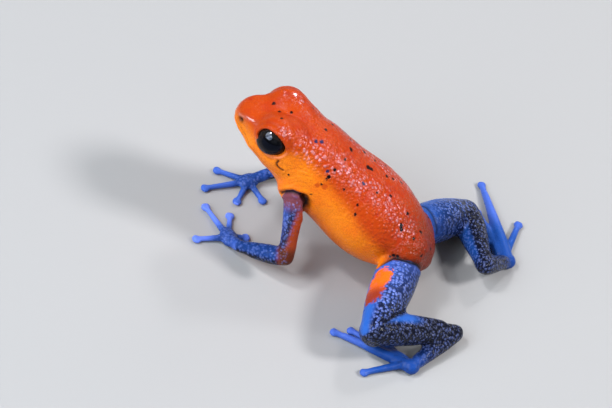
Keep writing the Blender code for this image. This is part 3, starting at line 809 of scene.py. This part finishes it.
# Spots: the place and radius of each one that is seen. The far side gets more of the kind.
spots = {
    "black": [
        (2.69, 0.6, 12.21, 0.13), (3.36, -0.09, 12.25, 0.12), (4.3, 0.17, 12.41, 0.11),
        (3.7, -1.53, 12.97, 0.12), (7.43, 0.21, 11.99, 0.13), (9.97, 0.25, 10.95, 0.17),
        (9.79, -1.1, 10.89, 0.12), (9.31, -2.28, 10.52, 0.11), (9.05, -2.88, 10.07, 0.13),
        (8.72, -3.37, 9.46, 0.1), (8.95, -3.05, 9.9, 0.09), (10.6, -2.89, 9.38, 0.1),
        (11.86, -0.03, 10.04, 0.18), (12.15, 0.05, 9.92, 0.14), (13.59, 0.65, 9.26, 0.12),
        (14.18, 0.98, 8.92, 0.13), (13.23, -1.61, 9.2, 0.1), (14.45, -0.9, 8.8, 0.12),
        (12.09, -3.17, 8.61, 0.11), (12.24, -3.64, 7.97, 0.12), (16.33, -0.96, 7.67, 0.12),
        (16.14, -2.12, 7.32, 0.13), (16.22, -2.24, 7.18, 0.14), (16.3, -2.34, 7.04, 0.13),
        (17.79, -1.19, 6.33, 0.13), (17.35, -2.15, 6.08, 0.12), (19.01, -1.0, 4.91, 0.12),
        (5.92, -3.47, 9.18, 0.08), (16.45, -3.72, 5.32, 0.13), (16.8, -3.8, 5.42, 0.12),
        (16.15, -3.95, 5.25, 0.1), (18.3, -2.6, 5.4, 0.1), (8.2, -3.62, 8.35, 0.08)],
    "blue": [
        (7.01, -1.38, 11.82, 0.14), (7.45, -1.16, 11.82, 0.15), (11.96, -1.68, 9.67, 0.13),
        (8.77, -2.68, 10.43, 0.13)],
    "dim": [
        (3.44, 1.59, 12.93, 0.16), (5.31, -2.0, 12.52, 0.18), (6.71, 1.69, 11.81, 0.15),
        (0.77, 0.7, 11.68, 0.2), (9.0, -3.3, 9.3, 0.22), (8.4, -3.45, 9.3, 0.18), (13.9, -2.9, 8.1, 0.16),
        (15.1, -2.6, 7.8, 0.17)],
    "swell": 1.35,
    "edge": (1.15, 0.65),    # where a spot begins and is full, in radii
    "ragged": (7000.0, 0.3 * mm),
    "farCount": 26,
    "farApart": 0.95,
    "farRadius": (0.08, 0.16),
    "farBeyond": (5.0, 1.4),    # x and y where the far side begins
}


def farSpots(obj):
    rng = np.random.default_rng(11)
    points = readPoints(obj)
    x, y = spots["farBeyond"]
    farBack = (points[:, 0] > x) & (points[:, 1] > y)
    allowed = np.nonzero(farBack & (masks["limb"] < 0.05) & (masks["belly"] < 0.35))[0]
    chosen = []
    for index in rng.permutation(allowed):
        if all(np.linalg.norm(points[index] - other) > spots["farApart"] for other in chosen):
            chosen.append(points[index])
        if len(chosen) == spots["farCount"]:
            break
    return [(*spot, rng.uniform(*spots["farRadius"])) for spot in chosen]


def placeSpots(obj):
    # each spot in metres, moved to the nearest place on the skin
    tree = surfaceTree(obj)
    rows = {"black": spots["black"] + farSpots(obj), "blue": spots["blue"], "dim": spots["dim"]}
    return {kind: [(*tree.find_nearest(place(x, y, z))[0], radius * spots["swell"] * mm)
                   for x, y, z, radius in kindRows] for kind, kindRows in rows.items()}


spotRows = placeSpots(skin)
print("spots:", {kind: len(rows) for kind, rows in spotRows.items()})


# Node helpers: each puts a node in the tree and gives back what comes out of it.
def node(tree, kind, **settings):
    made = tree.nodes.new(kind)
    for name, value in settings.items():
        setattr(made, name, value)
    return made


def treeOf(*values):
    # the tree that the sockets among the values are in
    return next(value.id_data for value in values if isinstance(value, bpy.types.NodeSocket))


def feed(socket, value):
    if isinstance(value, bpy.types.NodeSocket):
        treeOf(socket).links.new(value, socket)
    elif socket.type == "RGBA":
        socket.default_value = (*value, 1.0)
    else:
        socket.default_value = value


def feedAll(made, values):
    for name, value in values.items():
        feed(made.inputs[name], value)
    return made.outputs


def chain(operation, first, *others):
    for other in others:
        made = node(treeOf(first, other), "ShaderNodeMath", operation=operation)
        feed(made.inputs[0], first)
        feed(made.inputs[1], other)
        first = made.outputs[0]
    return first


def times(*values):
    return chain("MULTIPLY", *values)


def plus(*values):
    return chain("ADD", *values)


def minus(*values):
    return chain("SUBTRACT", *values)


def spread(value, low, high, toLow=0.0, toHigh=1.0):
    made = node(treeOf(value), "ShaderNodeMapRange", interpolation_type="SMOOTHSTEP")
    settings = {"Value": value, "From Min": low, "From Max": high, "To Min": toLow, "To Max": toHigh}
    return feedAll(made, settings)["Result"]


def vectorMath(operation, *values):
    made = node(treeOf(*values), "ShaderNodeVectorMath", operation=operation)
    for socket, value in zip(made.inputs, values):
        feed(socket, value)
    return made.outputs["Value" if operation in ("DISTANCE", "LENGTH") else "Vector"]


def noise(vector, scale, detail=3.0, roughness=0.5):
    made = node(treeOf(vector), "ShaderNodeTexNoise")
    return feedAll(made, {"Vector": vector, "Scale": scale, "Detail": detail, "Roughness": roughness})


def shake(vector, scale, reach):
    # the place, moved a little by noise, so that round shapes get uneven edges
    return vectorMath("MULTIPLY_ADD", noise(vector, scale, 2.0)["Color"], (reach,) * 3, vector)


def blendColour(share, first, second):
    made = node(treeOf(share), "ShaderNodeMix", data_type="RGBA", blend_type="MIX")
    feed(made.inputs["Factor"], share)
    feed(made.inputs[6], first)
    feed(made.inputs[7], second)
    return made.outputs[2]


def layColours(ground, *layers):
    # a layer: where it lies, how strong it is, and its colour by name or from another node
    for share, strength, tint in layers:
        first, second = (colours[tone] if isinstance(tone, str) else tone for tone in (ground, tint))
        ground = blendColour(times(share, strength), first, second)
    return ground


def newGroup(name, inputs, outputs):
    # every group takes a place and some numbers, and puts out values
    group = bpy.data.node_groups.new(name, "ShaderNodeTree")
    group.interface.new_socket(name="Vector", in_out="INPUT", socket_type="NodeSocketVector")
    for title, value in inputs.items():
        socket = group.interface.new_socket(name=title, in_out="INPUT", socket_type="NodeSocketFloat")
        socket.default_value = value
    for title in outputs:
        group.interface.new_socket(name=title, in_out="OUTPUT", socket_type="NodeSocketFloat")
    return group, node(group, "NodeGroupInput").outputs, node(group, "NodeGroupOutput").inputs


def useGroup(group, **values):
    return feedAll(node(treeOf(*values.values()), "ShaderNodeGroup", node_tree=group), values)


grainShape = {
    "randomness": 0.85,
    "drift": (2600.0, 0.09 * mm),    # noise that moves the grains: its scale, and how far
    "ragged": (9500.0, 0.6),         # noise on the edge of the tips: its scale and strength
    "round": (0.72, 0.1),            # distances from its middle where the height begins and is full
    "tip": (0.56, 0.32),             # the same for the pale tip
    "gap": (0.42, 0.62),             # and for the gap round it
}


def makeGrainGroup():
    # round wet grains: a height for the bump, masks for their tips and for the gaps between them,
    # and a number of its own for each grain
    group, given, result = newGroup("grains", {"Size": 0.3}, ("Height", "Tips", "Gaps", "Chance"))
    cells = node(group, "ShaderNodeTexVoronoi", feature="F1")
    cells.inputs["Randomness"].default_value = grainShape["randomness"]
    feed(cells.inputs["Vector"], shake(given["Vector"], *grainShape["drift"]))
    feed(cells.inputs["Scale"], chain("DIVIDE", 1000.0, given["Size"]))
    distance = cells.outputs["Distance"]
    scale, strength = grainShape["ragged"]
    ragged = times(minus(noise(given["Vector"], scale, 2.0)["Fac"], 0.5), strength)
    feed(result["Height"], spread(distance, *grainShape["round"]))
    feed(result["Tips"], spread(plus(distance, ragged), *grainShape["tip"]))
    feed(result["Gaps"], spread(distance, *grainShape["gap"]))
    apart = node(group, "ShaderNodeSeparateColor")
    feed(apart.inputs[0], cells.outputs["Color"])
    feed(result["Chance"], apart.outputs[0])
    return group


def makeMottleGroup():
    # soft patches: the plain cloud, and a mask of where it is above Level
    group, given, result = newGroup("mottle", {"Size": 1.0, "Level": 0.5, "Softness": 0.1}, ("Mask", "Value"))
    cloud = noise(given["Vector"], chain("DIVIDE", 1000.0, given["Size"]), 4.0, 0.55)["Fac"]
    level, softness = given["Level"], given["Softness"]
    feed(result["Mask"], spread(cloud, minus(level, softness), plus(level, softness)))
    feed(result["Value"], cloud)
    return group


def makeSpotGroup():
    # the dark spots, each by its own place on the skin
    group, given, result = newGroup("spots", {}, ("Black", "Blue", "Dim"))
    scale, reach = spots["ragged"]
    centred = vectorMath("SUBTRACT", shake(given["Vector"], scale, reach), (reach / 2,) * 3)
    outer, inner = spots["edge"]
    for kind, rows in spotRows.items():
        found = []
        for *spot, radius in rows:
            gap = vectorMath("DISTANCE", centred, tuple(spot))
            found.append(spread(gap, radius * outer, radius * inner))
        feed(result[kind.capitalize()], chain("MAXIMUM", *found))
    return group


grains, mottle, spotMarks = makeGrainGroup(), makeMottleGroup(), makeSpotGroup()

colours = {
    "crown": (0.5, 0.055, 0.004), "crownDeep": (0.4, 0.02, 0.004), "orange": (0.92, 0.228, 0.007),
    # the deeper orange here is painted shade for the underside of the belly
    "orangeDeep": (0.9, 0.15, 0.006), "bellyShade": (0.62, 0.105, 0.005), "rump": (0.085, 0.014, 0.004),
    # the pale pink here is a painted highlight for grain tips
    "paintedHighlight": (0.92, 0.45, 0.5), "rim": (0.75, 0.22, 0.1), "black": (0.003, 0.0025, 0.004),
    "blueBlack": (0.02, 0.02, 0.075), "blue": (0.016, 0.085, 0.38), "azure": (0.024, 0.12, 0.48),
    "blueDeep": (0.008, 0.03, 0.16), "violet": (0.15, 0.24, 0.85), "night": (0.004, 0.005, 0.014),
    "paleGrain": (0.2, 0.26, 0.6), "rust": (0.34, 0.046, 0.01), "elbow": (0.05, 0.014, 0.006),
    "wine": (0.19, 0.04, 0.04), "ember": (0.95, 0.15, 0.01), "emberDeep": (0.24, 0.022, 0.014),
}
finish = {  # sizes and heights in millimetres, the rest from 0 to 1
    "bodyGrain": 0.29,
    "netGrain": 0.27,
    "fineGrain": 0.12,
    "fineHeight": 0.12,
    "bump": 0.085,
    "patch": {"Size": 1.6, "Level": 0.56, "Softness": 0.1},
    "fleck": {"Size": 0.42, "Level": 0.62, "Softness": 0.06},
    "roughness": 0.3,
    "roughnessRange": (-0.04, 0.06),
    "wetRoughness": 0.15,
    "creaseRoughness": 0.25,    # added in the creases
    "sheen": 0.32,              # how metallic the pale grain tips are
    "specular": 0.15,
    "ridgeRoughness": 0.17,
    "ridgeIor": 2.0,
}
eyeFinish = {
    "pupil": (0.0015, 0.0015, 0.002),
    "iris": ((0.006, 0.004, 0.003), (0.02, 0.011, 0.005)),
    "pupilShape": (820.0, 820.0, 1150.0),
    "pupilEdge": (0.62, 0.74),
    "irisThreads": 9000.0,
    "shineStreaks": 2300.0,
    "roughness": 0.035,
    "ior": 1.36,
    "specular": 0.28,
    "tint": (0.42, 0.52, 1.0, 1.0),
    "shineHeight": (0.55, 0.85),    # above the middle of the eye: the upper part mirrors the sky
    "shineIor": 1.6,
}


def newMaterial(name, values):
    made = bpy.data.materials.new(name)
    made.use_nodes = True
    shader = made.node_tree.nodes["Principled BSDF"]
    for title, value in values.items():
        shader.inputs[title].default_value = value
    return made, made.node_tree, shader.inputs


def bodyColour(mask, body, fine, patches, dots):
    # red above, orange below with painted shade low on the belly, brown at the rump, with grains, a painted
    # highlight on grain tips, and spots
    cloud = times(minus(patches["Value"], 0.5), 0.4)
    top = layColours("crown", (patches["Mask"], 0.45, "crownDeep"))
    low = layColours("orange", (patches["Mask"], 0.5, "orangeDeep"))
    colour = blendColour(spread(plus(mask["belly"], cloud), 0.15, 0.85), top, low)
    grainy = times(mask["grain"], body["Gaps"], minus(1.0, mask["belly"]))
    # painted highlight: pale pink on the tips of the grains in the band and on the brows
    paintedHighlightTips = times(mask["paintedHighlight"], body["Tips"], spread(body["Chance"], 0.1, 0.8))
    colour = layColours(
        colour, (mask["bellyShade"], 0.8, "bellyShade"), (mask["rump"], 0.85, "rump"),
        (grainy, 0.45, "crownDeep"), (paintedHighlightTips, 0.55, "paintedHighlight"), (mask["rim"], 0.6, "rim"),
        (fine["Gaps"], 0.22, "crownDeep"), (dots["Dim"], 0.6, "crownDeep"),
        (dots["Blue"], 1.0, "blueBlack"), (dots["Black"], 1.0, "black"))
    return colour, paintedHighlightTips


def limbColour(mask, netting, flecks):
    # blue, with dark netting between pale grains, rust on the arms and ember on the thighs
    pale = times(mask["net"], spread(netting["Tips"], 0.35, 1.0))
    pale = times(pale, spread(mask["dark"], 0.2, 1.0, 0.85, 0.3))
    rusty = layColours("rust", (flecks["Mask"], 1.0, "wine"))
    ember = layColours("ember", (mask["emberLow"], 0.9, "emberDeep"))
    ragged = times(minus(netting["Chance"], 0.5), spread(mask["ember"], 0.0, 0.3, 0.0, 0.8))
    emberEdge = spread(plus(mask["ember"], ragged), 0.2, 0.7)
    colour = layColours(
        "blue", (mask["dark"], 1.0, "blueDeep"),
        (mask["violet"], 1.0, "violet"), (mask["strip"], 0.9, "azure"),
        (times(mask["net"], netting["Gaps"]), 0.97, "night"),
        (times(mask["dark"], mask["net"]), 0.93, "night"),
        (times(flecks["Mask"], mask["dark"]), 0.7, "night"), (mask["rust"], 1.0, rusty),
        (mask["wine"], 0.95, "wine"), (mask["elbow"], 0.85, "elbow"),
        (pale, spread(netting["Chance"], 0.0, 0.8, 0.5, 1.0), "paleGrain"), (emberEdge, 1.0, ember))
    return colour, times(pale, mask["limb"])


def makeSkinMaterial():
    made, tree, shader = newMaterial("frogSkin", {
        "Specular IOR Level": finish["specular"], "Coat Roughness": finish["ridgeRoughness"],
        "Coat IOR": finish["ridgeIor"]})
    where = node(tree, "ShaderNodeTexCoord").outputs["Object"]
    mask = {}
    for name in masks:
        reader = node(tree, "ShaderNodeAttribute", label=name, attribute_type="GEOMETRY", attribute_name=name)
        mask[name] = reader.outputs["Fac"]
    body, fine, netting = (useGroup(grains, Vector=where, Size=finish[name])
                           for name in ("bodyGrain", "fineGrain", "netGrain"))
    patches = useGroup(mottle, Vector=where, **finish["patch"])
    flecks = useGroup(mottle, Vector=where, **finish["fleck"])
    dots = useGroup(spotMarks, Vector=where)

    colour, paintedHighlightTips = bodyColour(mask, body, fine, patches, dots)
    limb, pale = limbColour(mask, netting, flecks)
    border = plus(mask["limb"], times(minus(flecks["Value"], 0.5), 0.5))
    colour = blendColour(spread(border, 0.38, 0.62), colour, limb)
    # painted shade: black in the pressed folds, pits and armpit hollows
    feed(shader["Base Color"], layColours(colour, (mask["creaseShade"], 1.0, "black")))

    # grains in the surface, stronger on the back and in the net, and none on the spots
    bare = minus(1.0, chain("MAXIMUM", dots["Black"], dots["Blue"]))
    bodyHeight = times(body["Height"], mask["grain"], minus(1.0, mask["limb"]), bare)
    netHeight = times(netting["Height"], mask["net"], mask["limb"])
    bump = node(tree, "ShaderNodeBump")
    bump.inputs["Strength"].default_value = 1.0
    bump.inputs["Distance"].default_value = finish["bump"] * mm
    fineHeight = times(fine["Height"], finish["fineHeight"])
    feed(bump.inputs["Height"], plus(bodyHeight, netHeight, fineHeight))
    feed(shader["Normal"], bump.outputs["Normal"])

    # wet and dry: smoother where it is wet, shining grain tips, and a film of water on the ridges
    smooth, rough = (finish["roughness"] + step for step in finish["roughnessRange"])
    dry = spread(patches["Value"], 0.35, 0.65, smooth, rough)
    wet = times(mask["wet"], finish["roughness"] - finish["wetRoughness"])
    creaseShade = times(mask["creaseShade"], finish["creaseRoughness"])
    feed(shader["Roughness"], plus(minus(dry, wet), creaseShade))
    feed(shader["Metallic"], times(plus(paintedHighlightTips, pale), finish["sheen"]))
    feed(shader["Coat Weight"], mask["ridge"])
    return made


def makeEyeMaterial(side):
    # near black, with a dark brown iris round a level pupil
    made, tree, shader = newMaterial(f"eye_{side}", {
        "Roughness": eyeFinish["roughness"], "IOR": eyeFinish["ior"], "Coat IOR": eyeFinish["shineIor"],
        "Specular IOR Level": eyeFinish["specular"], "Specular Tint": eyeFinish["tint"]})
    where = node(tree, "ShaderNodeTexCoord").outputs["Object"]
    middle = place(*eyePlace(sides[side]))
    front = middle + outward(eyeball["face"], sides[side]) * eyeball["radius"] * mm
    fromFront = vectorMath("SUBTRACT", where, tuple(front))
    fromPupil = vectorMath("LENGTH", vectorMath("MULTIPLY", fromFront, eyeFinish["pupilShape"]))
    threads = noise(where, eyeFinish["irisThreads"], 3.0)["Fac"]
    iris = blendColour(spread(threads, 0.45, 0.7), *eyeFinish["iris"])
    edge = spread(fromPupil, *eyeFinish["pupilEdge"])
    feed(shader["Base Color"], blendColour(edge, eyeFinish["pupil"], iris))

    level = node(tree, "ShaderNodeSeparateXYZ")
    feed(level.inputs[0], where)
    low, high = (middle.z + height * mm for height in eyeFinish["shineHeight"])
    streaks = spread(noise(where, eyeFinish["shineStreaks"], 1.0)["Fac"], 0.4, 0.52, 0.25, 1.0)
    feed(shader["Coat Weight"], times(spread(level.outputs["Z"], low, high), streaks))
    return made


skin.data.materials.clear()
skin.data.materials.append(makeSkinMaterial())
for side, eye in eyes.items():
    eye.data.materials.append(makeEyeMaterial(side))
pick(skin)
bpy.ops.object.shade_smooth()
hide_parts(*[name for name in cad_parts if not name.startswith("eye_")])
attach(skin, "root")
print("materials ready")


# Floor, light and camera.
studio = {  # lamps stand in metres from the middle of the frog's box, and all point at lampAim
    "floor": (0.4, 0.39, 0.375),
    "world": (0.9, 0.95, 1.0),
    "worldStrength": 0.18,
    "lampAim": (0.0, 0.0, 0.006),
    "lamps": [  # name, place, size, power, colour
        ("backLamp", (0.268, 0.036, 0.284), 0.09, 1.25, (0.95, 0.95, 1.0)),
        ("crownLamp", (0.04, 0.25, 0.296), 0.06, 0.3, (0.95, 0.95, 1.0)),
        ("snoutLamp", (-0.21, -0.084, 0.336), 0.06, 0.64, (0.95, 0.95, 1.0)),
        ("frontLamp", (-0.29, -0.215, 0.27), 0.36, 1.42, (0.76, 0.87, 1.0)),
        ("sideLamp", (-0.205, -0.315, 0.24), 0.26, 0.95, (0.76, 0.87, 1.0)),
        ("rearLamp", (0.05, 0.4, 0.25), 0.2, 0.15, (1.0, 1.0, 1.0)),
    ],
}
view = {  # aim is a place on the frog; right, up and back are the camera's own directions
    "aim": (8.161, -3.858, 7.231),
    "right": (0.93036, 0.22801, 0.28713),
    "up": (-0.36512, 0.64771, 0.6687),
    "back": (-0.03351, -0.72697, 0.68585),
    "distance": 350.0,
    "lens": 251.3,
}


def makeFloor():
    bpy.ops.mesh.primitive_plane_add(size=3.0, location=(0, 0, 0))
    floor = bpy.context.object
    floor.name = "floor"
    pale = newMaterial("paleFloor", {"Base Color": (*studio["floor"], 1.0), "Roughness": 0.7})[0]
    floor.data.materials.append(pale)


def makeLamps():
    world = bpy.data.worlds.new("softSky")
    bpy.context.scene.world = world
    world.use_nodes = True
    sky = world.node_tree.nodes["Background"]
    sky.inputs["Color"].default_value = (*studio["world"], 1.0)
    sky.inputs["Strength"].default_value = studio["worldStrength"]
    for name, where, size, power, colour in studio["lamps"]:
        bpy.ops.object.light_add(type="AREA", location=where)
        lamp = bpy.context.object
        lamp.name = name
        lamp.data.shape = "DISK"
        lamp.data.size = size
        lamp.data.energy = power
        lamp.data.color = colour
        beam = Vector(studio["lampAim"]) - Vector(where)
        lamp.rotation_euler = beam.to_track_quat("-Z", "Y").to_euler()


def makeCamera():
    bpy.ops.object.camera_add()
    camera = bpy.context.object
    camera.name = "photoCamera"
    turn = Matrix((view["right"], view["up"], view["back"])).transposed().to_4x4()
    where = place(*view["aim"]) + Vector(view["back"]) * view["distance"] * mm
    camera.matrix_world = Matrix.Translation(where) @ turn
    camera.data.sensor_width = 36.0
    camera.data.lens = view["lens"]
    camera.data.clip_start = 0.01
    camera.data.clip_end = 10.0
    bpy.context.scene.camera = camera


makeFloor()
makeLamps()
makeCamera()
bpy.context.scene.view_settings.view_transform = "Standard"
print("studio ready")
